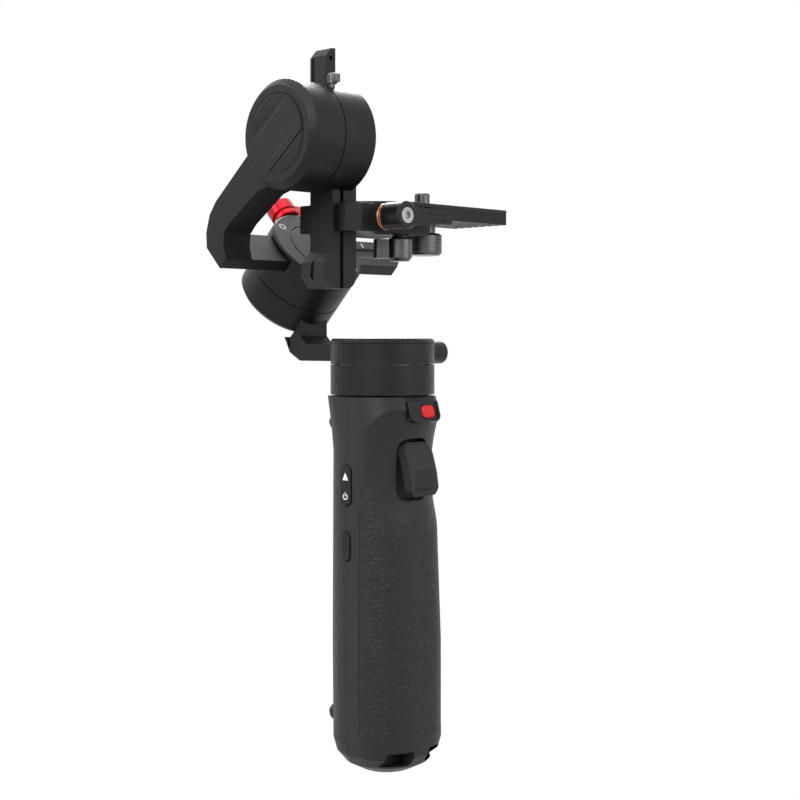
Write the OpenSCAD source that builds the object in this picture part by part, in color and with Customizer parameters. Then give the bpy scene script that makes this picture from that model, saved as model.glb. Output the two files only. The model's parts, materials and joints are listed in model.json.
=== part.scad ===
// Compact handheld three-axis camera gimbal.
// Origin at the mouth of the tripod thread, +Z up, lens and trigger side toward -Y.

/* [Motors] */
// Outer diameter of the three motors
motor_d = 42; // [41:0.5:43]
// Height of the point where the three axes meet
axis_z = 249; // [247:0.5:254]
// Lean of the roll axis from the vertical, degrees
roll_lean = 45; // [43:0.5:46]
// Radius of the motor shafts
shaft_r = 3; // [2:0.1:3.4]

/* [Handle] */
// Width of the handle, side to side
handle_w = 40; // [37:0.5:42]
// Height of the handle under the yaw motor
handle_h = 148.5; // [148:0.1:149]
// Front of the handle at the palm, ahead of the seam
handle_front = 22.5; // [21.5:0.5:24]
// Back of the handle, behind the seam
handle_back = 17; // [16.5:0.5:18.5]
// Width of the trigger
trigger_w = 15; // [12:0.5:16]

/* [Arms] */
// Width of the yaw arm
yaw_arm_w = 15; // [12:0.5:16]
// Thickness of the roll arm's flat bar
bar_t = 5.3; // [4:0.1:5.4]
// Width of the roll arm's flat bar
bar_w = 16; // [12:0.5:17]
// End of the bar past the roll motor
bar_end = 46.8; // [38:0.1:46.8]
// Width of the tilt arm, front to back
tilt_arm_w = 13; // [10:0.5:14]
// Top of the tilt arm
tilt_arm_top = 285; // [276:1:290]

/* [Camera plate] */
// Far end of the camera plate
plate_end = 59; // [46:1:64]
// Width of the camera plate, front to back
plate_w = 30; // [29:0.5:34]
// Camera screw's distance from the yaw axis
screw_x = 23; // [22:0.5:34]

/* [Fits] */
// Gap between a moving piece and its neighbour
gap = 0.3; // [0.25:0.05:0.35]
// Radial running fit of shafts and hinge pins
fit = 0.05; // [0.02:0.01:0.09]

/* [Hidden] */
$fn = 64;

motor_r = motor_d / 2;
wall = 1.6;
// Yaw motor, from the handle up
yaw_z0 = handle_h + 0.7;
yaw_seam = yaw_z0 + 12.2;
yaw_top = yaw_seam + 10.2;
beam_z0 = yaw_seam + 0.9;
beam_z1 = beam_z0 + 7;
// Roll motor, measured along the roll axis from the axes' meeting point
roll_face = -55;
cover_t = 1.5;
bar_front = roll_face - cover_t - gap;
bar_back = bar_front - bar_t;
head_back = roll_face - 9;
case_back = head_back - 9.4;
stator_front = case_back - gap;
stator_back = roll_face - 32;
// Tilt motor, along X
tilt_x0 = -56;
tilt_seam = -39.4;
tilt_x1 = -22;
// Tilt arm
arm_x0 = -33.2;
arm_x1 = -20.7;
foot_z = 191;
// Camera clamp
block_z0 = 213;
block_z1 = 224;
rail_z0 = 219.7;
pad_z0 = block_z1 + gap + 0.1;
pad_z1 = 226;
stud_r = 6.35 / 2;
shank_r = 2.9;

// Rounded rectangle centred on the origin
module rounded(w, h, r) {
    square([w - 2 * r, h], center = true);
    square([w, h - 2 * r], center = true);
    for (sx = [-1, 1], sy = [-1, 1])
        translate([sx * (w / 2 - r), sy * (h / 2 - r)]) circle(r = r);
}

// Disc with a chamfer round its top edge
module capped(r, h, c) {
    rotate_extrude() polygon([[0, 0], [r, 0], [r, h - c], [r - c, h], [0, h]]);
}

module tube(ro, ri, h) {
    difference() {
        cylinder(r = ro, h = h);
        translate([0, 0, -1]) cylinder(r = ri, h = h + 2);
    }
}

// Frames: Z along the roll axis, and Z along +X at the tilt axis
module roll_frame() { translate([0, 0, axis_z]) rotate([roll_lean, 0, 0]) children(); }
module tilt_frame() { translate([0, 0, axis_z]) rotate([0, 90, 0]) children(); }
// Z turned to point forward (-Y)
module forward() { rotate([90, 0, 0]) children(); }
// Outline in Y, Z drawn across X
module across(w) {
    rotate([90, 0, 90]) translate([0, 0, -w / 2]) linear_extrude(w) children();
}

// Motor internals shared by the three axes: Z runs from the fixed half to the turning half
module stator(h) {
    tube(8.5, 6.2, h);
    for (a = [0:30:330]) rotate(a) {
        translate([8.2, -1, 0]) cube([5, 2, h]);
        translate([12.6, -2.4, 0]) cube([1.5, 4.8, h]);
        translate([9, -1.9, 1]) cube([3.2, 3.8, h - 2]);
    }
}
module bearing(h) { tube(6, shaft_r + fit, h); }
module rotor(h, seat) {
    tube(17.2, 15, h);
    translate([0, 0, -seat]) cylinder(r = shaft_r, h = h + seat);
    translate([0, 0, h - 1.2]) cylinder(r = 17.2, h = 1.2);
}

// ---- Handle ----
grip_z0 = 16;
grip_z1 = 110;
throat_z0 = 119;
throat_z1 = 127;
trigger_z = 130;
pivot_y = -14.6;
pivot_z = trigger_z - 1.2;
seam = 0.05;
corner_r = 15.5;

// One level of the handle: height, front, back and inset from the outside
module handle_level(z, front, back, inset) {
    w = handle_w - 2 * inset;
    d = front + back - 2 * inset;
    translate([0, (back - front) / 2, z]) linear_extrude(0.01)
        rounded(w, d, min(corner_r, d / 2 - 0.5), $fn = 32);
}

// From the domed base up to the throat under the trigger
module handle_lower(inset) {
    f = handle_front;
    b = handle_back;
    hull() {
        handle_level(0, f, b, 9.5);
        handle_level(3, f, b, 3.6);
        handle_level(7, f, b, 1 + inset);
        handle_level(12, f, b, inset);
        handle_level(51, f, b + 0.4, inset);
        handle_level(91, f - 2.3, b + 0.3, inset);
        handle_level(throat_z0, f - 3.2, b, inset);
    }
}

module handle_solid() {
    f = handle_front;
    b = handle_back;
    handle_lower(0);
    hull() {
        handle_level(throat_z0, f - 3.2, b, 0);
        handle_level(throat_z1, f - 4, b, 0);
    }
    hull() {
        handle_level(throat_z1, f - 4, b, 0);
        handle_level(137, f + 0.4, b + 1.2, 0);
    }
    hull() {
        handle_level(137, f + 0.4, b + 1.2, 0);
        handle_level(handle_h, f - 3, b + 3.4, 0);
    }
}

// The zone that the leather covers on the front
module grip_zone() {
    translate([-30, -40, grip_z0]) cube([60, 40 - 7, grip_z1 - grip_z0]);
}

// Finger groove: a ring of round section that dips into the front and both its corners
groove_r = 81;
groove_reach = handle_front + 2.9;
module finger_groove() {
    intersection() {
        translate([0, 8, throat_z0 - 1]) rotate_extrude($fn = 128)
            translate([groove_reach + groove_r, 0]) circle(r = groove_r, $fn = 256);
        translate([-40, -60, throat_z0 - 25]) cube([80, 56, 50]);
    }
}

module handle_cavity() {
    translate([0, 1, 12]) linear_extrude(handle_h - 17) rounded(32, 25, 8);
}

screw_places = [[-12.3, 21], [12.3, 21], [-12.3, 138], [12.3, 138]];
module screw_posts() {
    for (p = screw_places) translate([p[0], 16, p[1]]) forward() cylinder(r = 3.4, h = 31);
}
module screw_holes() {
    for (p = screw_places) translate([p[0], 0, p[1]]) {
        translate([0, 30, 0]) forward() cylinder(r = 1.1, h = 38);
        translate([0, 30, 0]) forward() cylinder(r = 2.2, h = 15.2);
    }
}

// Slanted face under the yaw motor that carries the record button
panel_lean = 73;
panel_w = 17;
panel_h = 8.4;
panel_x = 1.8;
button_x = 3.9;
module panel_frame() {
    translate([0, -handle_front + 1.2, 142.6]) rotate([panel_lean, 0, 0]) children();
}

module panel_outline(grow) {
    translate([panel_x, 0]) {
        rounded(panel_w + 2 * grow, panel_h + 2 * grow, 3 + grow);
        translate([0, panel_h / 4 + grow / 2])
            square([panel_w + 2 * grow, panel_h / 2 + grow], center = true);
    }
}
module button_outline(grow) { translate([button_x, 0]) rounded(6.4 + 2 * grow, 5 + 2 * grow, 1.6 + grow); }
module button_hole() { translate([0, 0, -9]) linear_extrude(20) button_outline(gap); }

// Pockets of the two controls on the side seam
module side_pocket(z, w, h) {
    translate([-handle_w / 2 - 2, 0, z]) rotate([90, 0, 90])
        linear_extrude(5.4) rounded(w, h, w / 2 - 0.01);
}
module side_pockets() {
    side_pocket(113.5, 6.6, 16.6);
    side_pocket(89.5, 5.1, 12);
}

module handle_shared_cuts() {
    handle_cavity();
    translate([0, 0, -1]) cylinder(r = 6.5, h = 16);
    translate([0, 0, handle_h - 6]) cylinder(r = 15.05, h = 10);
    side_pockets();
}

module handle_front() {
    color("#3d3e40") difference() {
        union() {
            difference() {
                handle_solid();
                handle_shared_cuts();
                difference() {
                    grip_zone();
                    handle_lower(1);
                }
                finger_groove();
            }
            intersection() {
                screw_posts();
                translate([-17, -12, 14]) cube([34, 12, 129.5]);
            }
        }
        translate([-40, -seam, -5]) cube([80, 60, 200]);
        screw_holes();
        side_pockets();
        trigger_recess();
        strap_pocket();
        panel_frame() {
            translate([0, 0, -1.2]) linear_extrude(20) {
                panel_outline(0.2);
                translate([panel_x, 8]) square([panel_w + 0.4, 10], center = true);
            }
            button_hole();
        }
    }
}

module handle_rear() {
    color("#37383a") difference() {
        union() {
            difference() {
                handle_solid();
                handle_shared_cuts();
            }
            intersection() {
                screw_posts();
                translate([-17, 0, 14]) cube([34, 14.5, 129.5]);
            }
        }
        translate([-40, seam - 60, -5]) cube([80, 60, 200]);
        screw_holes();
        side_pockets();
        rear_pockets();
        translate([handle_w / 2 - 1.2, 0, 62]) rotate([90, 0, 90]) linear_extrude(4)
            translate([6.5, 0]) rounded(9.2, 15.2, 2.5);
        translate([handle_w / 2 - 5, 4, 57.5]) cube([6, 5, 9]);
    }
}

// Slot that the trigger swings in, with the bore of its pin
module trigger_recess() {
    translate([0, pivot_y + 1.9, trigger_z - 10.2]) forward()
        linear_extrude(20) rounded(trigger_w + 1.4, 24.6, 4.6);
    translate([-trigger_w / 2 - 2, pivot_y, pivot_z]) rotate([0, 90, 0])
        cylinder(r = 1 + fit, h = trigger_w + 4);
}

strap_z = 6.8;
module strap_pocket() {
    for (s = [-1, 1]) translate([s * 9.3, 0, strap_z]) forward()
        translate([0, 0, 12.5]) linear_extrude(20) rounded(11, 6, 1.5);
    translate([-14.8, -15.6, strap_z - 3]) cube([29.6, 3.1, 6]);
}

module rear_pockets() {
    translate([0, 30, 102]) forward() cylinder(r = 6, h = 20);
    translate([0, 30, 86]) forward() cylinder(r = 3.05, h = 20);
    translate([0, handle_back + 2, 122]) forward() linear_extrude(3.2) rounded(17.3, 13.3, 2);
}

module leather_grip() {
    color("#232323") difference() {
        intersection() {
            handle_lower(0.05);
            grip_zone();
        }
        handle_lower(1);
        finger_groove();
    }
}

module control_panel() {
    color("#1c1d1f") panel_frame() difference() {
        translate([0, 0, -1.15]) linear_extrude(2) panel_outline(0);
        translate([0, 0, 0.1]) linear_extrude(2) {
            panel_outline(-0.9);
            translate([panel_x, 4]) square([panel_w - 1.8, 4], center = true);
        }
        button_hole();
    }
    color("#8a8c8e") panel_frame() translate([-3.1, 0, 0.1]) tube(1.6, 1.1, 0.25);
}

module record_button() {
    color("#c81e1e") panel_frame() {
        translate([0, 0, -3]) linear_extrude(3.8) button_outline(0);
        translate([0, 0, 0.8]) linear_extrude(0.4) button_outline(-0.4);
    }
}

module trigger() {
    color("#27282a") difference() {
        intersection() {
            union() {
                across(trigger_w) polygon([
                    [-13.4, trigger_z - 1.6], [pivot_y, trigger_z + 0.4], [-18.2, trigger_z + 0.6],
                    [-21, trigger_z - 4], [-23.2, trigger_z - 11], [-24.2, trigger_z - 17],
                    [-23.6, trigger_z - 20.2], [-22, trigger_z - 20.8],
                    [-20.6, trigger_z - 18.6], [-19.2, trigger_z - 12], [-17, trigger_z - 5]]);
                translate([-trigger_w / 2, pivot_y, pivot_z]) rotate([0, 90, 0])
                    cylinder(r = 1.6, h = trigger_w);
            }
            translate([0, -10, trigger_z - 10.1]) forward() linear_extrude(20)
                rounded(trigger_w, 21.6, 4);
        }
        translate([-20, pivot_y, pivot_z]) rotate([0, 90, 0]) cylinder(r = 1 + fit, h = 40);
    }
}

module trigger_pin() {
    color("silver") translate([-trigger_w / 2 - 1.8, pivot_y, pivot_z]) rotate([0, 90, 0])
        cylinder(r = 1, h = trigger_w + 3.6);
}

module power_button() {
    color("#1d1e20") translate([-handle_w / 2 - 0.5, 0, 113.5]) rotate([90, 0, 90]) {
        linear_extrude(2) rounded(6, 16, 2.99);
        translate([0, 3.6, -0.3]) tube(1.5, 1.05, 0.31);
    }
}

module menu_button() {
    color("#2b2c2e") translate([-handle_w / 2 - 0.5, 0, 89.5]) rotate([90, 0, 90])
        linear_extrude(2) rounded(4.5, 11.4, 2.24);
}

module joystick() {
    color("#1a1a1b") translate([0, 12, 102]) rotate([-90, 0, 0]) rotate_extrude()
        polygon([[0, 0], [2.2, 0], [2.2, 5.6], [4.6, 6.2], [5, 7.2], [4.6, 8.2],
            [2.8, 7.8], [0, 7.4]]);
}

// Rocker that carries the stick's side-to-side tilt
module stick_ring() {
    color("#55575a") translate([0, 12.6, 102]) rotate([-90, 0, 0]) tube(3.4, 2.5, 1.6);
}

module mode_button() {
    color("#2b2c2e") translate([0, 14, 86]) rotate([-90, 0, 0]) capped(3, 3.6, 0.4);
}

module display_window() {
    color("#0c0d10") translate([0, handle_back + 0.15, 122]) forward()
        linear_extrude(1.3) rounded(17.2, 13.2, 2);
}

module port_cover() {
    color("#151515") translate([handle_w / 2 - 1.1, 0, 62]) rotate([90, 0, 90])
        linear_extrude(1.2) translate([6.5, 0]) rounded(9, 15, 2.4);
}

module battery() {
    color("#3b6ea5") translate([0, 1, 26]) linear_extrude(70) rounded(31, 21, 6);
}

module main_board() {
    color("#1f6b3a") translate([-13, 9.5, 100]) cube([26, 1.6, 32]);
    color("#222222") translate([-6, 7.7, 108]) cube([12, 1.8, 12]);
}

// Threaded insert that takes the tripod screw
module tripod_insert() {
    color("#b9a46a") tube(6.4, stud_r, 12);
    color("#b9a46a") translate([0, 0, 12]) cylinder(r = 6.4, h = 1.6);
}

module shell_screws() {
    color("silver") for (p = screw_places) translate([p[0], 14.85, p[1]]) forward() {
        cylinder(r = 1.1, h = 21);
        difference() {
            translate([0, 0, -1.6]) cylinder(r = 2, h = 1.6);
            translate([0, 0, -2.6]) cylinder(r = 0.9, h = 2, $fn = 6);
        }
    }
}

// Plate that ties the shells to the yaw motor
module base_collar() {
    color("#2a2b2d") translate([0, 0, handle_h - 5]) difference() {
        cylinder(r = 15, h = yaw_z0 - handle_h + 5);
        translate([0, 0, -1]) cylinder(r = 4, h = 20);
    }
}

// ---- Yaw axis ----
module yaw_base() {
    color("#34353a") translate([0, 0, yaw_z0]) difference() {
        cylinder(r = motor_r, h = yaw_seam - gap - yaw_z0);
        translate([0, 0, 2]) cylinder(r = motor_r - wall, h = 20);
        translate([-motor_r - 1, 4, 5]) cube([2, 3.4, 3.4]);
    }
}
module yaw_stator() { color("#b5652b") translate([0, 0, yaw_z0 + 2]) stator(8); }
module yaw_bearing() { color("silver") translate([0, 0, yaw_z0 + 2]) bearing(4); }
module yaw_rotor() { color("#77797c") translate([0, 0, yaw_seam - 9.2]) rotor(9.2, 0.7); }

knob_z = beam_z0 + 3.5;
case_top = beam_z1 + gap;
module yaw_case() {
    color("#3a3b3f") difference() {
        translate([0, 0, yaw_seam]) cylinder(r = motor_r, h = case_top - yaw_seam);
        translate([-yaw_arm_w / 2 - gap, -15, beam_z0 - gap])
            cube([yaw_arm_w + 2 * gap, 60, 20]);
        translate([0, 0, knob_z]) rotate([0, 90, 0]) cylinder(r = 1.5 + fit, h = 40);
    }
}
module yaw_cap() {
    color("#3a3b3f") translate([0, 0, case_top]) capped(motor_r, yaw_top - case_top, 0.9);
}
module yaw_knob() {
    stem = motor_r - yaw_arm_w / 2;
    color("#2b2c2e") translate([motor_r + 0.4, 0, knob_z]) rotate([0, 90, 0]) {
        rotate_extrude() polygon([[0, 0], [3.2, 0], [3.2, 3.4], [4.1, 3.8], [4.7, 4.6],
            [4.7, 12.2], [3.9, 13], [0, 13.2]]);
        translate([0, 0, -stem]) cylinder(r = 1.5, h = stem + 1);
    }
}

// L-shaped arm: beam through the yaw case, neck up to the roll motor
module yaw_arm() {
    color("#38393d") difference() {
        across(yaw_arm_w) {
            polygon([[-5, beam_z0], [42, beam_z0], [48.5, beam_z0 + 3.5],
                [52, beam_z0 + 10], [52, 184], [41.7, 186], [41.7, beam_z1 + 3.5],
                [38.2, beam_z1], [-5, beam_z1]]);
            translate([0, 0]) difference() {
                translate([38, beam_z1 - 0.2]) square([4, 4]);
                translate([38.2, beam_z1 + 3.5]) circle(r = 3.5);
            }
        }
        roll_frame() translate([0, 0, stator_back - 4])
            cylinder(r = motor_r, h = 40);
        for (s = [-1, 1]) translate([s * (yaw_arm_w / 2 + 0.4) - 0.9, 43.6, 168])
            cube([1.8, 6, 8]);
    }
}

// ---- Roll axis ----
module roll_stator_case() {
    color("#34353a") roll_frame() translate([0, 0, stator_front]) mirror([0, 0, 1])
        difference() {
            capped(motor_r, stator_front - stator_back, 2);
            translate([0, 0, -1]) cylinder(r = motor_r - wall, h = stator_front - stator_back - 1);
        }
}
module roll_rear_cap() {
    color("#2c2d30") roll_frame() translate([0, 0, stator_back]) mirror([0, 0, 1])
        capped(16.5, 1.2, 0.7);
}
module roll_stator() {
    color("#b5652b") roll_frame() translate([0, 0, stator_back + 2]) stator(8);
}
module roll_bearing() {
    color("silver") roll_frame() translate([0, 0, stator_back + 2]) bearing(4);
}
module roll_rotor() {
    color("#77797c") roll_frame() translate([0, 0, stator_back + 3.1])
        rotor(case_back - stator_back - 3.1, 0.8);
}
module roll_case() {
    color("#3a3b3f") roll_frame() translate([0, 0, case_back]) difference() {
        cylinder(r = motor_r, h = head_back - case_back);
        translate([0, 0, 2]) cylinder(r = motor_r - 3, h = 20);
    }
}

cover_screw_r = 17.3;
module at_cover_screws() {
    for (a = [45:90:315]) rotate(a) translate([cover_screw_r, 0, roll_face]) children();
}
module cover_screw() {
    difference() {
        translate([0, 0, -1]) cylinder(r = 1.8, h = 1);
        translate([0, 0, -0.7]) cylinder(r = 0.9, h = 2, $fn = 6);
    }
    translate([0, 0, -7]) cylinder(r = 1, h = 6);
}
module cover_screw_hole() {
    translate([0, 0, -7]) cylinder(r = 1, h = 9);
    translate([0, 0, -1]) cylinder(r = 1.8, h = 3);
}

knob_n = (bar_front + bar_back) / 2 - 0.6;
module roll_head() {
    color("#3a3b3f") roll_frame() difference() {
        translate([0, 0, head_back]) cylinder(r = motor_r, h = roll_face - cover_t - head_back);
        translate([-30, -bar_w / 2 - gap, bar_back - gap]) cube([60, bar_w + 2 * gap, 20]);
        translate([0, 0, knob_n]) rotate([-90, 0, 0]) cylinder(r = 1.5 + fit, h = 40);
        at_cover_screws() cover_screw_hole();
    }
}
module roll_cover() {
    color("#303135") roll_frame() difference() {
        translate([0, 0, roll_face - cover_t]) capped(motor_r, cover_t, 0.7);
        at_cover_screws() cover_screw_hole();
        translate([0, 0, roll_face - 0.4]) tube(13.2, 12.6, 2);
    }
}
module cover_screws() { color("silver") roll_frame() at_cover_screws() cover_screw(); }

module roll_knob() {
    stem = motor_r - bar_w / 2 - 0.2;
    color("#b3212a") roll_frame() translate([0, motor_r + 1, knob_n]) rotate([-90, 0, 0]) {
        rotate_extrude() polygon([[0, 0], [5.4, 0], [5.9, 0.5], [5.9, 1.9], [5, 2.4], [5, 3.2],
            [5.9, 3.7], [5.9, 8.8], [5, 9.6], [0, 9.6]]);
        translate([0, 0, -stem]) cylinder(r = 1.5, h = stem + 1);
        translate([0, -1.8, 3.9]) linear_extrude(4.9) {
            translate([4, 0]) square([6, 3.6]);
            translate([10, 1.8]) circle(r = 1.8);
        }
    }
}

// C-shaped arm from the tilt motor to the flat bar through the roll head
module roll_arm() {
    bend_w = 13.6;
    color("#3b3c40") difference() {
        union() {
            roll_frame() translate([-46.2, 0, 0]) across(bend_w) {
                polygon([[-7, -12], [-7, -20.4], [-4, -25.5], [0, -45], [0, -50], [-3, -54],
                    [-8, bar_front], [-8, bar_back], [4, bar_back], [8.6, -58], [12, -51.4],
                    [12.8, -45], [9.8, -12]]);
            }
            roll_frame() translate([0, 0, bar_back]) linear_extrude(bar_t)
                polygon([[-50, -bar_w / 2], [bar_end - 4, -bar_w / 2],
                    [bar_end, 4 - bar_w / 2], [bar_end, bar_w / 2 - 4],
                    [bar_end - 4, bar_w / 2], [-50, bar_w / 2]]);
        }
        tilt_frame() translate([0, 0, tilt_x0 - 1]) cylinder(r = motor_r, h = 30);
        // three long grooves on the outer corner
        for (k = [-1:1]) roll_frame()
            translate([-46.2 + k * 3.6 - 0.9, 11.9, -49]) cube([1.8, 3, 16]);
        // scale notches along the bar's edge
        for (x = [24:2:40]) roll_frame()
            translate([x - 0.25, bar_w / 2 - 1.4, bar_front - 0.4]) cube([0.5, 3, 2]);
        // shallow channel along the bar's free end
        roll_frame() translate([-10, -2.6, bar_front - 0.5]) cube([bar_end + 3, 5.2, 2]);
        roll_frame() translate([bar_end - 3.4, 1.5, bar_front - 2]) cylinder(r = 0.9, h = 4);
    }
}
module bar_stop() {
    color("silver") roll_frame() translate([bar_end - 3.4, 1.5, bar_front]) {
        translate([0, 0, -2]) cylinder(r = 0.9, h = 2);
        difference() {
            cylinder(r = 1.7, h = 1.1);
            translate([0, 0, 0.4]) cylinder(r = 0.8, h = 2, $fn = 6);
        }
    }
}

// ---- Tilt axis ----
badge_r = 15.35;
module tilt_front_case() {
    color("#38393d") tilt_frame() difference() {
        translate([0, 0, tilt_seam - gap]) mirror([0, 0, 1])
            capped(motor_r, tilt_seam - gap - tilt_x0, 2.4);
        translate([0, 0, tilt_x0 + 2.2]) cylinder(r = motor_r - wall, h = 30);
        translate([0, 0, tilt_x0 - 1]) cylinder(r = badge_r + 0.1, h = 1.9);
    }
}
module tilt_badge() {
    color("#232427") tilt_frame() translate([0, 0, tilt_x0]) {
        cylinder(r = badge_r, h = 0.9);
        intersection() {
            translate([0, 0, -0.5]) cylinder(r = badge_r - 0.6, h = 1);
            rotate(40) translate([-20, -4.2, -1]) cube([40, 8.4, 2]);
        }
    }
}
module tilt_stator() { color("#b5652b") tilt_frame() translate([0, 0, tilt_x0 + 2.2]) stator(10.8); }
module tilt_bearing() { color("silver") tilt_frame() translate([0, 0, tilt_x0 + 2.2]) bearing(4); }
module tilt_rotor() {
    color("#77797c") tilt_frame() translate([0, 0, tilt_x0 + 3.2]) rotor(tilt_seam - tilt_x0 - 3.2, 0.7);
}

latch_x = -35.6;
latch_y = -8.9;
module tilt_case() {
    color("#3a3b3f") difference() {
        tilt_frame() translate([0, 0, tilt_seam]) capped(motor_r, tilt_x1 - tilt_seam, 2);
        difference() {
            translate([arm_x0 - gap, -tilt_arm_w / 2 - gap, axis_z - 40])
                cube([30, tilt_arm_w + 2 * gap, 80]);
            for (s = [-1, 1]) translate([-29.2, s * (tilt_arm_w / 2 + 0.3) - 0.9, axis_z - 40])
                cube([1.4, 1.8, 80]);
        }
        translate([latch_x, latch_y, axis_z + 12]) cylinder(r = 1.2 + fit, h = 20);
    }
}

// Upright bar that slides in the tilt case, with the foot under it
neck_z = 262;
neck_y = -2.4;
module tilt_arm() {
    top = tilt_arm_top;
    w = tilt_arm_w;
    color("#3b3c40") difference() {
        translate([0, w / 2, 0]) forward() linear_extrude(w) {
            polygon([[arm_x1, foot_z + 5], [arm_x1, top - 4.5], [arm_x1 - 3.5, top],
                [arm_x0 + 3, top - 0.5], [arm_x0, top - 4], [arm_x0, 205.5], [-37.6, 201],
                [-38.2, 195.4], [-34.2, foot_z], [arm_x1 - 5, foot_z]]);
            translate([arm_x1 - 5, foot_z + 5]) circle(r = 5);
        }
        for (s = [-1, 1]) translate([-29.5, s * (w / 2 + 0.3) - 1.5, 180]) cube([2, 3, 120]);
        translate([-39, -0.75, foot_z - 1]) cube([2, 1.5, 12]);
        // slim upper end
        translate([-28, -10, neck_z]) cube([20, 20, 60]);
        translate([-40, -10, neck_z]) cube([40, 10 + neck_y, 60]);
        translate([arm_x0 - 1, neck_y + 1.6, top - 13]) cube([1.5, w / 2 - neck_y - 2.8, 9.5]);
        translate([-30.4, neck_y, top - 4.4]) rotate([90, 0, 0])
            translate([0, 0, -1.2]) cylinder(r = 0.9, h = 4);
    }
}
module arm_latch() {
    color("silver") translate([latch_x, latch_y, axis_z + 20.1]) {
        translate([0, 0, -6]) cylinder(r = 1.2, h = 7);
        capped(1.9, 4.1, 0.5);
        translate([-0.9, -3.6, 0.4]) cube([1.8, 3, 3.2]);
    }
}

// ---- Camera clamp ----
block_x0 = -31;
block_x1 = 11.5;
lever_x = -14;
lever_z = 219;
lower_y = -10;
module clamp_block() {
    color("#35363a") difference() {
        translate([0, 0, block_z0]) linear_extrude(block_z1 - block_z0)
            polygon([[block_x0, 15], [block_x1, 15], [block_x1, -15.7],
                [block_x0 + 4.5, -15.7], [block_x0, -11.2]]);
        translate([block_x0 - 1, -tilt_arm_w / 2 - 0.05, block_z0 - 1])
            cube([arm_x1 - block_x0 + 1.05, tilt_arm_w + 0.1, 20]);
        translate([-20.4, -10.3, rail_z0 - gap]) cube([60, 20.6, 2.4]);
        translate([-20.4, -8.3, rail_z0]) cube([60, 16.6, 9]);
        translate([lever_x, -10.4, lever_z]) forward() cylinder(r = 2, h = 20);
        translate([0, lower_y, block_z0 - 1]) cylinder(r = 2 + fit, h = 6);
    }
}
module camera_plate() {
    shoulder = 12.3;
    color("#2f3034") difference() {
        union() {
            translate([-17, -10, rail_z0]) cube([40, 20, 1.8]);
            translate([-17, -8, rail_z0]) cube([40, 16, pad_z0 - rail_z0]);
            translate([shoulder, -plate_w / 2, rail_z0])
                cube([plate_end - shoulder, plate_w, pad_z0 - rail_z0]);
        }
        translate([screw_x, 0, rail_z0 - 1]) cylinder(r = shank_r + fit, h = 10);
        for (y = [-12:4:12]) translate([screw_x + 10, y - 0.8, rail_z0 - 1])
            cube([plate_end - screw_x, 1.6, 2]);
    }
}
module plate_pad() {
    cut = 14;
    color("#1d1e1f") difference() {
        translate([0, 0, pad_z0]) linear_extrude(pad_z1 - pad_z0)
            polygon([[-17 + cut, -plate_w / 2], [plate_end, -plate_w / 2],
                [plate_end, plate_w / 2], [-17, plate_w / 2], [-17, cut - plate_w / 2]]);
        translate([screw_x, 0, pad_z0 - 1]) cylinder(r = stud_r + 0.1, h = 10);
    }
}
module release_lever() {
    color("#1f2023") translate([lever_x, -17.9, lever_z]) forward() difference() {
        union() {
            rotate_extrude() polygon([[0, 0], [4.9, 0], [5.5, 0.6], [5.5, 9.9], [4.9, 10.5],
                [0, 10.5]]);
            translate([0, 0, 4]) linear_extrude(5.6) {
                polygon([[0, -4.6], [12, -3], [24, -2.4], [24, 2.4], [12, 3], [0, 4.6]]);
                translate([24, 0]) circle(r = 2.4);
            }
        }
        translate([0, 0, -1]) cylinder(r = 2 + fit, h = 20);
        translate([0, 0, 8.6]) cylinder(r = 3.5, h = 5);
        for (s = [-1, 1]) translate([8, s * 1 - 0.3, 9.2]) cube([14, 0.6, 2]);
    }
}
module copper_washer() {
    color("#c46a2d") translate([lever_x, -15.7, lever_z]) forward() tube(5.2, 2.2, 1);
}
module steel_washer() {
    color("silver") translate([lever_x, -16.7, lever_z]) forward() tube(4.6, 2.2, 0.9);
}
module lever_screw() {
    color("silver") translate([lever_x, -10.8, lever_z]) forward() {
        cylinder(r = 2, h = 16.1);
        translate([0, 0, 16]) difference() {
            cylinder(r = 3.2, h = 1.6);
            translate([0, 0, 0.5]) cylinder(r = 1.5, h = 3, $fn = 6);
        }
    }
}
module lower_lever() {
    color("#232427") translate([0, lower_y, 202.4]) {
        rotate_extrude() polygon([[0, 0], [3.6, 0], [4.8, 1.4], [4.8, 8.6], [4.2, 9.2],
            [3.2, 9.2], [3.2, 10.3], [2, 10.3], [2, 15], [0, 15]]);
        rotate(135) translate([0, -2, 1.2]) linear_extrude(7.6) {
            translate([3, 0]) square([5.6, 4]);
            translate([8.6, 2]) circle(r = 2);
        }
    }
}
module camera_screw() {
    color("#8d8f92") translate([screw_x, 0, 206]) rotate_extrude()
        polygon([[0, 0], [7.2, 0], [8, 0.8], [8, 8.2], [7.2, 9], [5.5, 9], [5.5, 13.4],
            [shank_r, 13.4], [shank_r, 20], [stud_r, 20], [stud_r, 25.2],
            [stud_r - 0.6, 25.8], [0, 25.8]]);
}

handle_front();
handle_rear();
leather_grip();
control_panel();
display_window();
battery();
main_board();
tripod_insert();
shell_screws();
port_cover();
base_collar();
trigger();
trigger_pin();
record_button();
power_button();
menu_button();
joystick();
stick_ring();
mode_button();
yaw_base();
yaw_stator();
yaw_bearing();
yaw_rotor();
yaw_case();
yaw_cap();
yaw_knob();
yaw_arm();
roll_stator_case();
roll_rear_cap();
roll_stator();
roll_bearing();
roll_rotor();
roll_case();
roll_head();
roll_cover();
cover_screws();
roll_knob();
roll_arm();
bar_stop();
tilt_front_case();
tilt_badge();
tilt_stator();
tilt_bearing();
tilt_rotor();
tilt_case();
tilt_arm();
arm_latch();
clamp_block();
camera_plate();
plate_pad();
release_lever();
copper_washer();
steel_washer();
lever_screw();
lower_lever();
camera_screw();
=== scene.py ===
"""Builds the looks of a compact three-axis camera gimbal round its CAD frame."""

import json
import math

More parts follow.
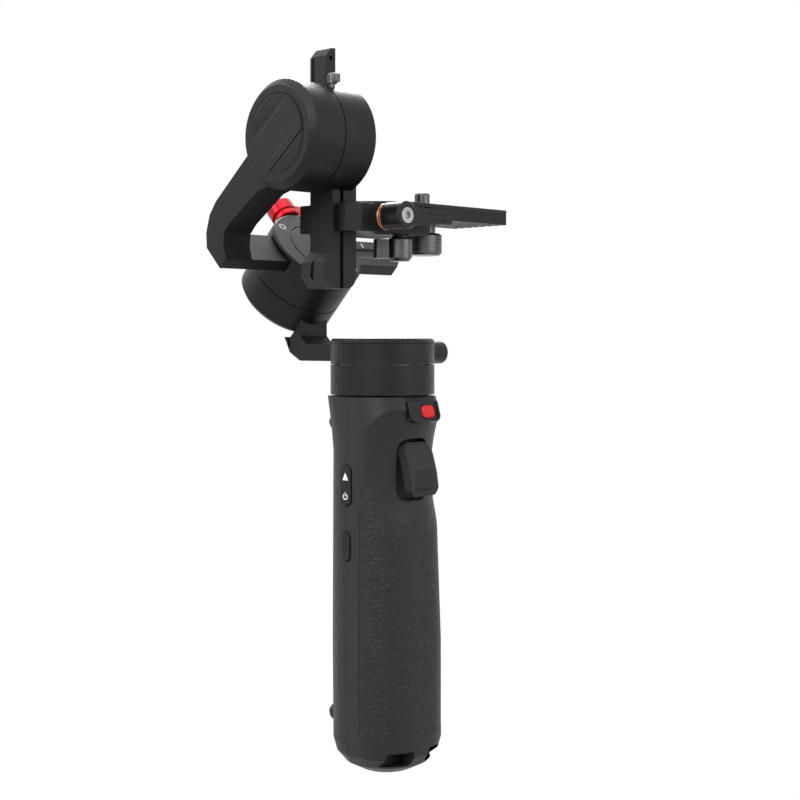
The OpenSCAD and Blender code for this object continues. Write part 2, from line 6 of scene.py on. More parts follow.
import bmesh
import bpy
from mathutils import Matrix, Vector


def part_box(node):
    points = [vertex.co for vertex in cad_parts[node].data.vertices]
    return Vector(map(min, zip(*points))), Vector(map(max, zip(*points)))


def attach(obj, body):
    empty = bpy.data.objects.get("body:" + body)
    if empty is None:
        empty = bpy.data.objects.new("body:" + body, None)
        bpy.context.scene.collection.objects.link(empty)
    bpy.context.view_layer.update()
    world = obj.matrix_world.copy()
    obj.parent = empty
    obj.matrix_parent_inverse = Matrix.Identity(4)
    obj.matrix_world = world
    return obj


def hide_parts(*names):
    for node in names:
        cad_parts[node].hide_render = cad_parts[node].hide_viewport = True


bl_info = {
    "name": "Camera Gimbal Looks",
    "version": (1, 0, 0),
    "blender": (4, 5, 0),
    "location": "View3D > Sidebar > Gimbal",
    "description": "Finishes, fine detail and studio for a handheld camera gimbal",
    "category": "Object",
}

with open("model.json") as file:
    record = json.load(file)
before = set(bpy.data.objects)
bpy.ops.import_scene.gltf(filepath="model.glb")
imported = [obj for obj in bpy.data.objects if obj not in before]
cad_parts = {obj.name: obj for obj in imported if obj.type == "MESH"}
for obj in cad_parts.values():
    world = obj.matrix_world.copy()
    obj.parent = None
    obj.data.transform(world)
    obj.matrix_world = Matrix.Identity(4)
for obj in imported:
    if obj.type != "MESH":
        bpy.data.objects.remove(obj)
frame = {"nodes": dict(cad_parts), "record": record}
NODES = frame["nodes"]
BODY_OF = {
    node: body
    for body, members in frame["record"]["behaviour"]["bodies"].items()
    for node in members
}
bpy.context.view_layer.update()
MM = 0.001

# Where the yaw, roll and tilt axes meet, and how the slanted bar lies
AXES_MEET = Vector((0.0, 0.0, 0.249))
ROLL_AXIS = Vector((0.0, -1.0, 1.0)).normalized()
BAR_UP = Vector((0.0, 1.0, 1.0)).normalized()
BAR_FACE_REACH = 56.8 * MM

# Rounding and smoothing, with angles in degrees
EDGE_ANGLE = 20.0
DETAIL_ANGLE = 32.0
FLAT_ANGLE = 0.6
MERGE_REACH = 0.004 * MM
SHELL_EDGE = 0.25 * MM
TRIM_EDGE = 0.18 * MM

# Gloss that every finish shares
SPECULAR = 0.25
COAT_ROUGH = 0.12

# Printed marks: how far the button's raised ring is pressed in, and the ink's lift
BUTTON_FLUSH = 0.3 * MM
INK_LIFT = 0.02 * MM

# Printed marks on the power button and the bar, in millimetres
INK_THICK = 0.05
RING_OUTER = 1.35
RING_INNER = 0.95
RING_DROP = 4.2
RING_GAP = math.radians(38.0)
STROKE_HALF = 0.2
STROKE_ENDS = (-4.1, -2.6)
TRIANGLE_HALF = 1.6
TRIANGLE_ENDS = (2.2, 5.2)
TICK_EDGES = (29.8, 30.4, 3.6, 6.2)
TICK_THICK = 0.04

# Badge, in millimetres: each line is its distance from the middle and its width
BADGE_THICK = 0.9
BADGE_RIM = 0.7
BAND_THICK = 0.3
BAND_HALF = 8.7
LINE_THICK = 0.08
LINE_END = 1.6
LINES = ((6.1, 0.5), (8.35, 0.25))
RIB_THICK = 0.22
RIB_END = 0.2
RIB_SHARE = 0.5
BADGE_SLOPE = math.radians(-38.0)

# Knurl teeth round the camera screw
KNURL_ROWS = 9
KNURL_BAND = 7.0 * MM
KNURL_MIDDLE = 4.5 * MM
KNURL_TOOTH = 0.5 * MM
KNURL_SINK = 0.12 * MM

# Grip dots on the trigger's lower face
DOT_PATCH = (10.2 * MM, 8.4 * MM)
DOT_ROWS = 8
DOT_COLUMNS = 7
DOT = (0.44 * MM, 0.44 * MM, 0.3 * MM)
DOT_STAGGER = 0.85 * MM
DOT_PLACE = (0.57 * MM, 7.2 * MM)
DOT_TOP = 4.3 * MM
DOT_TOP_FALL = 0.12
DOT_REACH = 6.2 * MM
TRIGGER_LEAN = math.atan2(1.0, 6.0)

# Studio, in metres and watts: name, place, power and size of each lamp
LAMPS = (
    ("key", (-0.95, -0.35, 0.75), 9.0, 0.7),
    ("fill", (0.35, -1.1, 0.45), 4.0, 0.9),
    ("rim", (0.62, 0.66, 1.0), 16.0, 0.5),
    ("back_left", (-0.72, 0.68, 0.9), 8.0, 0.5),
    ("top", (-0.1, -0.1, 1.3), 6.0, 0.8),
)
LAMP_TARGET = Vector((0, 0, 0.16))
CAMERA_PLACE = (-0.4235, -0.4335, 0.171)
CAMERA_VIEW = Vector((1, 1, 0))
FLOOR_DROP = 0.5 * MM
FLOOR_SIZE = 8.0

# Node groups by finish
ANODISED = (
    "yaw_base", "yaw_case", "yaw_cap", "yaw_arm", "roll_stator_case", "roll_rear_cap",
    "roll_case", "roll_head", "roll_cover", "roll_arm", "tilt_front_case", "tilt_case",
    "tilt_arm", "clamp_block", "camera_plate", "base_collar",
)
BLACK_TRIM = (
    "control_panel", "power_button", "menu_button", "joystick", "stick_ring", "mode_button",
    "yaw_knob", "release_lever",
)
STEEL = (
    "shell_screws", "trigger_pin", "cover_screws", "bar_stop", "lever_screw", "steel_washer",
    "yaw_bearing", "roll_bearing", "tilt_bearing", "yaw_rotor", "roll_rotor", "tilt_rotor",
)
OTHER_FINISHES = {
    "copper_washer": "Copper washer",
    "camera_screw": "Gunmetal",
    "arm_latch": "Gunmetal",
    "lower_lever": "Gunmetal",
    "trigger": "Moulded shell",
    "roll_knob": "Red anodised",
    "record_button": "Red plastic",
    "plate_pad": "Soft rubber",
    "port_cover": "Soft rubber",
    "yaw_stator": "Copper winding",
    "roll_stator": "Copper winding",
    "tilt_stator": "Copper winding",
    "battery": "Battery wrap",
    "main_board": "Circuit board",
    "tripod_insert": "Brass",
    "display_window": "Display glass",
}
# Pieces too small or too finely divided for a rounded edge
UNROUNDED = {"yaw_stator", "roll_stator", "tilt_stator", "main_board", "display_window"}


# ---- Shader node groups ----

def new_group(name, amount):
    """A shader node group with one strength input, a tone, a roughness and a normal."""
    group = bpy.data.node_groups.new(name, "ShaderNodeTree")
    socket = group.interface.new_socket(amount, in_out="INPUT", socket_type="NodeSocketFloat")
    socket.default_value = 1.0
    for label, kind in (("Tone", "NodeSocketFloat"), ("Roughness", "NodeSocketFloat"),
                        ("Normal", "NodeSocketVector")):
        group.interface.new_socket(label, in_out="OUTPUT", socket_type=kind)
    enter = group.nodes.new("NodeGroupInput")
    leave = group.nodes.new("NodeGroupOutput")
    place = group.nodes.new("ShaderNodeTexCoord")
    return group, enter, leave, place.outputs["Object"]


def noise(group, vector, scale, detail, rough=0.5):
    node = group.nodes.new("ShaderNodeTexNoise")
    node.inputs["Scale"].default_value = scale
    node.inputs["Detail"].default_value = detail
    node.inputs["Roughness"].default_value = rough
    group.links.new(vector, node.inputs["Vector"])
    return node


def spread(group, value, low, high, start=0.3, end=0.7):
    """Maps a value that runs from start to end onto low to high."""
    node = group.nodes.new("ShaderNodeMapRange")
    node.inputs["From Min"].default_value = start
    node.inputs["From Max"].default_value = end
    node.inputs["To Min"].default_value = low
    node.inputs["To Max"].default_value = high
    group.links.new(value, node.inputs["Value"])
    return node.outputs["Result"]


def math_node(tree, operation, first, second):
    """A Math node on two values, each a number or another node's output."""
    node = tree.nodes.new("ShaderNodeMath")
    node.operation = operation
    for socket, value in zip(node.inputs, (first, second)):
        if isinstance(value, float):
            socket.default_value = value
        else:
            tree.links.new(value, socket)
    return node.outputs["Value"]


def bump(group, height, strength, distance):
    node = group.nodes.new("ShaderNodeBump")
    node.inputs["Distance"].default_value = distance
    group.links.new(height, node.inputs["Height"])
    group.links.new(strength, node.inputs["Strength"])
    return node.outputs["Normal"]


def grain_group():
    """Blasted or moulded fine grain: a tone and a roughness factor, and a normal."""
    group, enter, leave, place = new_group("Fine grain", "Grain")
    fine = noise(group, place, scale=5200.0, detail=2.0)
    cloud = noise(group, place, scale=60.0, detail=5.0)
    wipe = noise(group, place, scale=190.0, detail=6.0, rough=0.65)
    tone = math_node(group, "MULTIPLY", spread(group, fine.outputs["Fac"], 0.82, 1.2),
                     spread(group, cloud.outputs["Fac"], 0.92, 1.08))
    group.links.new(tone, leave.inputs["Tone"])
    shine = math_node(group, "MULTIPLY", spread(group, wipe.outputs["Fac"], 0.9, 1.12),
                      spread(group, fine.outputs["Fac"], 0.95, 1.05))
    group.links.new(shine, leave.inputs["Roughness"])
    normal = bump(group, fine.outputs["Fac"], enter.outputs["Grain"], 0.06 * MM)
    group.links.new(normal, leave.inputs["Normal"])
    return group


def leather_cells(group, vector, scale):
    """Cells that rise from their creases."""
    cells = group.nodes.new("ShaderNodeTexVoronoi")
    cells.feature = "DISTANCE_TO_EDGE"
    cells.inputs["Scale"].default_value = scale
    group.links.new(vector, cells.inputs["Vector"])
    return spread(group, cells.outputs["Distance"], 0.0, 1.0, 0.0, 0.3)


def leather_group():
    """Pebbled leather: creases between cells of two sizes, with fine pores."""
    group, enter, leave, place = new_group("Pebbled leather", "Relief")
    warp = noise(group, place, scale=260.0, detail=3.0)
    mix = group.nodes.new("ShaderNodeVectorMath")
    mix.operation = "MULTIPLY_ADD"
    group.links.new(warp.outputs["Color"], mix.inputs[0])
    mix.inputs[1].default_value = (2.2 * MM, 2.2 * MM, 2.2 * MM)
    group.links.new(place, mix.inputs[2])
    large = leather_cells(group, mix.outputs["Vector"], scale=430.0)
    small = leather_cells(group, mix.outputs["Vector"], scale=860.0)
    pebble = math_node(group, "MULTIPLY", large,
                       math_node(group, "ADD", math_node(group, "MULTIPLY", small, 0.45), 0.55))
    pores = noise(group, place, scale=3800.0, detail=2.0)
    height = math_node(group, "ADD", pebble,
                       math_node(group, "MULTIPLY", pores.outputs["Fac"], 0.12))
    group.links.new(spread(group, pebble, 0.72, 1.1, 0.0, 0.8), leave.inputs["Tone"])
    group.links.new(spread(group, pebble, 1.15, 0.9, 0.0, 0.8), leave.inputs["Roughness"])
    normal = bump(group, height, enter.outputs["Relief"], 0.28 * MM)
    group.links.new(normal, leave.inputs["Normal"])
    return group


def turned_group():
    """Fine turning marks and wear on bright metal."""
    group, enter, leave, place = new_group("Turned metal", "Marks")
    stretch = group.nodes.new("ShaderNodeMapping")
    stretch.inputs["Scale"].default_value = (1.0, 14.0, 1.0)
    group.links.new(place, stretch.inputs["Vector"])
    lines = noise(group, stretch.outputs["Vector"], scale=900.0, detail=3.0)
    worn = noise(group, place, scale=320.0, detail=5.0)
    group.links.new(spread(group, worn.outputs["Fac"], 0.86, 1.08), leave.inputs["Tone"])
    group.links.new(spread(group, lines.outputs["Fac"], 0.8, 1.25), leave.inputs["Roughness"])
    normal = bump(group, lines.outputs["Fac"], enter.outputs["Marks"], 0.03 * MM)
    group.links.new(normal, leave.inputs["Normal"])
    return group


def winding_group():
    """Close rows of enamelled wire."""
    group, enter, leave, place = new_group("Winding", "Relief")
    wires = group.nodes.new("ShaderNodeTexWave")
    wires.bands_direction = "DIAGONAL"
    wires.inputs["Scale"].default_value = 900.0
    wires.inputs["Distortion"].default_value = 0.6
    group.links.new(place, wires.inputs["Vector"])
    group.links.new(spread(group, wires.outputs["Fac"], 0.5, 1.1, 0.0, 1.0), leave.inputs["Tone"])
    group.links.new(spread(group, wires.outputs["Fac"], 1.2, 0.8, 0.0, 1.0),
                    leave.inputs["Roughness"])
    normal = bump(group, wires.outputs["Fac"], enter.outputs["Relief"], 0.1 * MM)
    group.links.new(normal, leave.inputs["Normal"])
    return group


GROUP_MAKERS = {
    "Fine grain": grain_group,
    "Pebbled leather": leather_group,
    "Turned metal": turned_group,
    "Winding": winding_group,
}


def surface(name, colour, rough, metallic, pattern, amount, coat=0.0):
    """A material whose pattern group varies its colour, roughness and normal."""
    material = bpy.data.materials.new(name)
    material.use_nodes = True
    tree = material.node_tree
    shader = tree.nodes["Principled BSDF"]
    group = bpy.data.node_groups.get(pattern) or GROUP_MAKERS[pattern]()
    detail = tree.nodes.new("ShaderNodeGroup")
    detail.node_tree = group
    detail.inputs[0].default_value = amount
    tint = tree.nodes.new("ShaderNodeMix")
    tint.data_type = "RGBA"
    tint.blend_type = "MULTIPLY"
    tint.inputs["Factor"].default_value = 1.0
    tint.inputs["A"].default_value = (*colour, 1.0)
    tree.links.new(detail.outputs["Tone"], tint.inputs["B"])
    tree.links.new(tint.outputs["Result"], shader.inputs["Base Color"])
    tree.links.new(math_node(tree, "MULTIPLY", detail.outputs["Roughness"], rough),
                   shader.inputs["Roughness"])
    tree.links.new(detail.outputs["Normal"], shader.inputs["Normal"])
    shader.inputs["Metallic"].default_value = metallic
    shader.inputs["Coat Weight"].default_value = coat
    shader.inputs["Specular IOR Level"].default_value = SPECULAR
    shader.inputs["Coat Roughness"].default_value = COAT_ROUGH
    return material


def finish(name):
    """The named finish, made the first time it is asked for."""
    if name in bpy.data.materials:
        return bpy.data.materials[name]
    return surface(name, *recipes()[name])


def recipes():
    """Colour, roughness, metallic, pattern, its strength and any coat of each finish."""
    looks = bpy.context.scene.gimbal_looks
    grey = tuple(looks.metal_colour)
    plastic = tuple(looks.plastic_colour)
    red = tuple(looks.accent_colour)
    return {
        "Charcoal anodised": (grey, 0.42, 0.7, "Fine grain", 0.2),
        "Moulded shell": (plastic, 0.47, 0.0, "Fine grain", 0.6),
        "Leather": ((0.016, 0.016, 0.0165), 0.46, 0.0, "Pebbled leather", 0.75),
        "Black trim": ((0.007, 0.007, 0.0075), 0.3, 0.0, "Fine grain", 0.15),
        "Red anodised": (red, 0.3, 0.8, "Fine grain", 0.3),
        "Red plastic": ((0.6, 0.02, 0.015), 0.36, 0.0, "Fine grain", 0.12),
        "Turned steel": ((0.34, 0.34, 0.35), 0.3, 1.0, "Turned metal", 0.5),
        "Gunmetal": ((0.1, 0.1, 0.105), 0.28, 1.0, "Turned metal", 0.5),
        "Copper washer": ((0.76, 0.33, 0.15), 0.28, 1.0, "Turned metal", 0.5),
        "Brass": ((0.75, 0.56, 0.26), 0.3, 1.0, "Turned metal", 0.4),
        "Soft rubber": ((0.016, 0.016, 0.016), 0.62, 0.0, "Fine grain", 0.9),
        "Copper winding": ((0.55, 0.2, 0.07), 0.35, 0.6, "Winding", 1.0),
        "Battery wrap": ((0.03, 0.12, 0.33), 0.35, 0.0, "Fine grain", 0.2),
        "Circuit board": ((0.012, 0.13, 0.045), 0.38, 0.0, "Fine grain", 0.3),
        "Display glass": ((0.004, 0.004, 0.005), 0.06, 0.0, "Fine grain", 0.02, 1.0),
        "Dark badge": ((0.003, 0.003, 0.0035), 0.45, 0.0, "Fine grain", 0.2),
        "Badge rib": ((0.03, 0.03, 0.032), 0.4, 0.3, "Fine grain", 0.2),
        "White ink": ((0.75, 0.75, 0.74), 0.5, 0.0, "Fine grain", 0.2),
    }


# ---- Geometry helpers ----

def new_object(name, data):
    """An object in the scene at the origin."""
    obj = bpy.data.objects.new(name, data)
    bpy.context.scene.collection.objects.link(obj)
    return obj


def paint(obj, material):
    obj.data.materials.clear()
    obj.data.materials.append(finish(material))
    for polygon in obj.data.polygons:
        polygon.material_index = 0


def smooth_by_angle(obj, degrees):
    mesh = obj.data
    mesh.shade_smooth()
    mesh.set_sharp_from_angle(angle=math.radians(degrees))


def rounded_copy(node, material, width, flush_x=None):
    """A copy of a CAD node with its faces merged and its hard edges rounded.

    What lies below flush_x is pressed flat onto it, to clear a face for a printed mark.
    """
    mesh = NODES[node].data.copy()
    obj = new_object(node + "_look", mesh)
    shape = bmesh.new()
    shape.from_mesh(mesh)
    if flush_x is not None:
        for vertex in shape.verts:
            vertex.co.x = max(vertex.co.x, flush_x)
    bmesh.ops.remove_doubles(shape, verts=shape.verts, dist=MERGE_REACH)
    bmesh.ops.dissolve_limit(
        shape, angle_limit=math.radians(FLAT_ANGLE), verts=shape.verts, edges=shape.edges,
        use_dissolve_boundaries=False)
    shape.to_mesh(mesh)
    shape.free()
    smooth_by_angle(obj, EDGE_ANGLE)
    rounding = obj.modifiers.new("Rounding", "BEVEL")
    rounding.width = width
    rounding.segments = 2
    rounding.limit_method = "ANGLE"
    rounding.angle_limit = math.radians(EDGE_ANGLE)
    facing = obj.modifiers.new("Facing", "WEIGHTED_NORMAL")
    facing.keep_sharp = False
    facing.weight = 60
    apply_modifiers(obj)
    paint(obj, material)
    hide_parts(node)
    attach(obj, BODY_OF[node])


def apply_modifiers(obj):
    """Turns the evaluated object into its own plain mesh."""
    graph = bpy.context.evaluated_depsgraph_get()
    made = bpy.data.meshes.new_from_object(obj.evaluated_get(graph))
    obj.modifiers.clear()
    obj.data = made


def mesh_piece(name, vertices, faces, material, body):
    mesh = bpy.data.meshes.new(name)
    mesh.from_pydata([tuple(v) for v in vertices], [], faces)
    mesh.validate()
    obj = new_object(name, mesh)
    shape = bmesh.new()
    shape.from_mesh(mesh)
    bmesh.ops.recalc_face_normals(shape, faces=shape.faces)
    shape.to_mesh(mesh)
    shape.free()
    smooth_by_angle(obj, DETAIL_ANGLE)
    paint(obj, material)
    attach(obj, body)
    return obj


def prism(name, outline, place, thick, material, body):
    """An outline in millimetres raised by thick along the Z of a placing matrix."""
    count = len(outline)
    vertices = [place @ Vector((x * MM, y * MM, z * MM)) for z in (0.0, thick)
                for x, y in outline]
    faces = [list(range(count))[::-1], list(range(count, 2 * count))]
    faces += [[i, (i + 1) % count, count + (i + 1) % count, count + i] for i in range(count)]
    return mesh_piece(name, vertices, faces, material, body)


def rectangle(left, right, low, high):
    return [(left, low), (right, low), (right, high), (left, high)]


def arc(radius, start, end, steps):
    """Points on an arc about the origin, both ends included."""
    turns = [start + (end - start) * k / steps for k in range(steps + 1)]
    return [(radius * math.cos(a), radius * math.sin(a)) for a in turns]


def frame_matrix(origin, x_axis, y_axis):
    """A placing matrix from an origin and the directions of X and Y."""
    x = Vector(x_axis).normalized()
    y = Vector(y_axis).normalized()
    z = x.cross(y)
    matrix = Matrix((x, y, z)).transposed().to_4x4()
    matrix.translation = Vector(origin)
    return matrix


# ---- Geometry Nodes ----

PATTERN_INPUTS = (
    ("Columns", "NodeSocketInt"), ("Rows", "NodeSocketInt"), ("Width", "NodeSocketFloat"),
    ("Height", "NodeSocketFloat"), ("Radius", "NodeSocketFloat"), ("Stud", "NodeSocketVector"),
    ("Stagger", "NodeSocketFloat"), ("Material", "NodeSocketMaterial"),
)


def stud_grid(tree, enter):
    """A flat grid mesh, with the X and Y of its points once odd rows are shifted."""
    grid = tree.nodes.new("GeometryNodeMeshGrid")
    tree.links.new(enter.outputs["Width"], grid.inputs["Size X"])
    tree.links.new(enter.outputs["Height"], grid.inputs["Size Y"])
    tree.links.new(enter.outputs["Columns"], grid.inputs["Vertices X"])
    tree.links.new(enter.outputs["Rows"], grid.inputs["Vertices Y"])
    here = tree.nodes.new("GeometryNodeInputPosition")
    split = tree.nodes.new("ShaderNodeSeparateXYZ")
    tree.links.new(here.outputs[0], split.inputs[0])
    index = tree.nodes.new("GeometryNodeInputIndex")
    row = math_node(tree, "MODULO", index.outputs[0], enter.outputs["Rows"])
    shift = math_node(tree, "MULTIPLY", math_node(tree, "MODULO", row, 2.0),
                      enter.outputs["Stagger"])
    across = math_node(tree, "ADD", split.outputs["X"], shift)
    return grid.outputs["Mesh"], across, split.outputs["Y"]


def grid_places(tree, enter, across, up, wrapped):
    """Where each point goes and how its stud turns, flat or round a cylinder about Z."""
    join = tree.nodes.new("ShaderNodeCombineXYZ")
    turn = tree.nodes.new("ShaderNodeCombineXYZ")
    if wrapped:
        angle = math_node(tree, "DIVIDE", across, enter.outputs["Radius"])
        for axis, operation in (("X", "COSINE"), ("Y", "SINE")):
            share = math_node(tree, operation, angle, 0.0)
            tree.links.new(math_node(tree, "MULTIPLY", enter.outputs["Radius"], share),
                           join.inputs[axis])
        tree.links.new(up, join.inputs["Z"])
        tree.links.new(angle, turn.inputs["Z"])
    else:
        tree.links.new(across, join.inputs["X"])
        tree.links.new(up, join.inputs["Y"])
    return join.outputs[0], turn.outputs[0]


def stud_mesh(tree, shape):
    """A blunt four-sided tooth or a ball, with a radius of one before it is scaled."""
    stud = tree.nodes.new(shape)
    sizes = {
        "GeometryNodeMeshCone": {"Vertices": 4, "Radius Top": 0.12, "Radius Bottom": 1.0,
                                 "Depth": 1.0},
        "GeometryNodeMeshUVSphere": {"Segments": 12, "Rings": 8},
    }
    for label, value in sizes[shape].items():
        stud.inputs[label].default_value = value
    return stud.outputs["Mesh"]


def pattern_tree(name, shape, wrapped):
    """Studs on a grid that lies flat, or is wrapped round a cylinder about Z."""
    tree = bpy.data.node_groups.new(name, "GeometryNodeTree")
    face = tree.interface
    face.new_socket("Geometry", in_out="INPUT", socket_type="NodeSocketGeometry")
    for label, kind in PATTERN_INPUTS:
        face.new_socket(label, in_out="INPUT", socket_type=kind)
    face.new_socket("Geometry", in_out="OUTPUT", socket_type="NodeSocketGeometry")
    enter = tree.nodes.new("NodeGroupInput")
    leave = tree.nodes.new("NodeGroupOutput")
    grid, across, up = stud_grid(tree, enter)
    position, turn = grid_places(tree, enter, across, up, wrapped)
    keep_turn = tree.nodes.new("GeometryNodeStoreNamedAttribute")
    keep_turn.data_type = "FLOAT_VECTOR"
    keep_turn.inputs["Name"].default_value = "turn"
    tree.links.new(grid, keep_turn.inputs["Geometry"])
    tree.links.new(turn, keep_turn.inputs["Value"])
    moved = tree.nodes.new("GeometryNodeSetPosition")
    tree.links.new(keep_turn.outputs["Geometry"], moved.inputs["Geometry"])
    tree.links.new(position, moved.inputs["Position"])
    read_turn = tree.nodes.new("GeometryNodeInputNamedAttribute")
    read_turn.data_type = "FLOAT_VECTOR"
    read_turn.inputs["Name"].default_value = "turn"
    place = tree.nodes.new("GeometryNodeInstanceOnPoints")
    tree.links.new(moved.outputs["Geometry"], place.inputs["Points"])
    tree.links.new(stud_mesh(tree, shape), place.inputs["Instance"])
    tree.links.new(enter.outputs["Stud"], place.inputs["Scale"])
    tree.links.new(read_turn.outputs["Attribute"], place.inputs["Rotation"])
    solid = tree.nodes.new("GeometryNodeRealizeInstances")
    tree.links.new(place.outputs["Instances"], solid.inputs["Geometry"])
    dress = tree.nodes.new("GeometryNodeSetMaterial")
    tree.links.new(solid.outputs["Geometry"], dress.inputs["Geometry"])
    tree.links.new(enter.outputs["Material"], dress.inputs["Material"])
    tree.links.new(dress.outputs["Geometry"], leave.inputs["Geometry"])
    return tree


def pattern(name, tree, values, material, place, body, keep=None):
    """Runs a pattern tree, turns it into a plain mesh at a place, and rides it on a body."""
    obj = new_object(name, bpy.data.meshes.new(name))
    modifier = obj.modifiers.new("Pattern", "NODES")
    modifier.node_group = tree
    wanted = dict(values, Material=finish(material))
    for item in tree.interface.items_tree:
        if item.in_out == "INPUT" and item.name in wanted:
            modifier[item.identifier] = wanted[item.name]
    apply_modifiers(obj)
    if keep is not None:
        trim_islands(obj.data, keep)
    obj.data.transform(place)
    smooth_by_angle(obj, DETAIL_ANGLE)
    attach(obj, body)


def trim_islands(mesh, keep):
    """Leaves only the studs whose middle passes the test keep(x, y)."""
    shape = bmesh.new()
    shape.from_mesh(mesh)
    seen = set()
    doomed = []
    for start in shape.verts:
        if start in seen:
            continue
        island = [start]
        seen.add(start)
        for vertex in island:
            for edge in vertex.link_edges:
                other = edge.other_vert(vertex)
                if other not in seen:
                    seen.add(other)
                    island.append(other)
        middle = sum((v.co for v in island), Vector()) / len(island)
        if not keep(middle.x, middle.y):
            doomed += island
    bmesh.ops.delete(shape, geom=doomed, context="VERTS")
    shape.to_mesh(mesh)
    shape.free()


# ---- Settings ----

class GimbalLooks(bpy.types.PropertyGroup):
    """Colours and sizes that a user would change."""

    metal_colour: bpy.props.FloatVectorProperty(
        name="Metal colour", description="Colour of the anodised arms and motors",
        subtype="COLOR", size=3, min=0.0, max=1.0, default=(0.019, 0.019, 0.02))
    plastic_colour: bpy.props.FloatVectorProperty(
        name="Shell colour", description="Colour of the handle's plastic shells",
        subtype="COLOR", size=3, min=0.0, max=1.0, default=(0.015, 0.015, 0.0155))
    accent_colour: bpy.props.FloatVectorProperty(
        name="Accent colour", description="Colour of the anodised wing knob",
        subtype="COLOR", size=3, min=0.0, max=1.0, default=(0.42, 0.012, 0.02))
    edge_width: bpy.props.FloatProperty(
        name="Edge rounding", description="Rounding of machined edges",
        unit="LENGTH", default=0.28 * MM, min=0.05 * MM, max=0.6 * MM)
    knurl_pitch: bpy.props.FloatProperty(
        name="Knurl pitch", description="Distance between knurl teeth",
        unit="LENGTH", default=0.95 * MM, min=0.6 * MM, max=2.0 * MM)
    rib_pitch: bpy.props.FloatProperty(
        name="Badge rib pitch", description="Distance between the badge's ribs",
        unit="LENGTH", default=0.85 * MM, min=0.4 * MM, max=1.5 * MM)


# ---- Operators ----

class GIMBAL_OT_metalwork(bpy.types.Operator):
    """Arms, motor cases, clamp and plate with rounded edges and a charcoal anodised finish"""

    bl_idname = "gimbal.metalwork"
    bl_label = "Metalwork"

    def execute(self, context):
        for node in ANODISED:
            rounded_copy(node, "Charcoal anodised", context.scene.gimbal_looks.edge_width)
        return {"FINISHED"}


class GIMBAL_OT_handle(bpy.types.Operator):
    """Moulded shells and the leather grip"""

    bl_idname = "gimbal.handle"
    bl_label = "Handle"

    def execute(self, context):
        for node, material in (("handle_front", "Moulded shell"),
                               ("handle_rear", "Moulded shell"),
                               ("leather_grip", "Leather")):
            rounded_copy(node, material, SHELL_EDGE)
        return {"FINISHED"}


class GIMBAL_OT_trim(bpy.types.Operator):
    """Buttons, levers, screws, bearings and the inner pieces"""

    bl_idname = "gimbal.trim"
    bl_label = "Trim and hardware"

    def execute(self, context):
        pieces = {node: "Black trim" for node in BLACK_TRIM}
        pieces.update({node: "Turned steel" for node in STEEL})
        pieces.update(OTHER_FINISHES)
        for node, material in pieces.items():
            if node in UNROUNDED:
                paint(NODES[node], material)
            elif node == "power_button":
                rounded_copy(node, material, TRIM_EDGE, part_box(node)[0].x + BUTTON_FLUSH)
            else:
                rounded_copy(node, material, TRIM_EDGE)
        return {"FINISHED"}


class GIMBAL_OT_knurl(bpy.types.Operator):
    """Diamond knurl round the camera screw"""

    bl_idname = "gimbal.knurl"
    bl_label = "Knurl"

    def execute(self, context):
        low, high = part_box("camera_screw")
        radius = (high.x - low.x) / 2
        round_it = 2 * math.pi * radius
        columns = round(round_it / context.scene.gimbal_looks.knurl_pitch)
        step = round_it / columns
        middle = Matrix.Translation(((low.x + high.x) / 2, (low.y + high.y) / 2,
                                     low.z + KNURL_MIDDLE))
        tree = pattern_tree("Wrapped studs", "GeometryNodeMeshCone", True)
        pattern("camera_screw_knurl", tree, {
            "Columns": columns, "Rows": KNURL_ROWS, "Width": step * (columns - 1),
            "Height": KNURL_BAND, "Radius": radius - KNURL_SINK,
            "Stud": (KNURL_TOOTH, KNURL_TOOTH, KNURL_TOOTH), "Stagger": step / 2},
            "Turned steel", middle, BODY_OF["camera_screw"])
        return {"FINISHED"}


def badge_disc(radius, outward, body):
    """The dark disc that the band and the ribs stand on."""
    disc = prism("badge_disc", arc(radius, 0.0, math.tau, 96)[:-1], outward, BADGE_THICK,
                 "Dark badge", body)
    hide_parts("tilt_badge")


def badge_band(inner, face, body):
    """A blank band across the disc, with its ends on the rim."""
    edge = math.asin(BAND_HALF / inner)
    band = arc(inner, -edge, edge, 24)
    band += [(-x, -y) for x, y in band]
    prism("badge_band", band, face, BAND_THICK, "Charcoal anodised", body)


def badge_lines(inner, top, body):
    """Thin raised lines along both sides of the band."""
    for side in (-1, 1):
        for shift, width in LINES:
            y = side * shift
            reach = math.sqrt(inner * inner - y * y) - LINE_END
            prism(f"badge_line_{side + 1}_{width}",
                  rectangle(-reach, reach, y - width / 2, y + width / 2),
                  top, LINE_THICK, "Badge rib", body)


def badge_ribs(inner, pitch, face, body):
    """Fine ribs from the band out to the rim."""
    rib = pitch * RIB_SHARE / 2
    y = BAND_HALF + pitch
    row = 0
    while y < inner - pitch / 2:
        reach = math.sqrt(inner * inner - y * y) - RIB_END
        for side in (-1, 1):
            prism(f"badge_rib_{row}_{side + 1}",
                  rectangle(-reach, reach, side * y - rib, side * y + rib),
                  face, RIB_THICK, "Badge rib", body)
        y += pitch
        row += 1


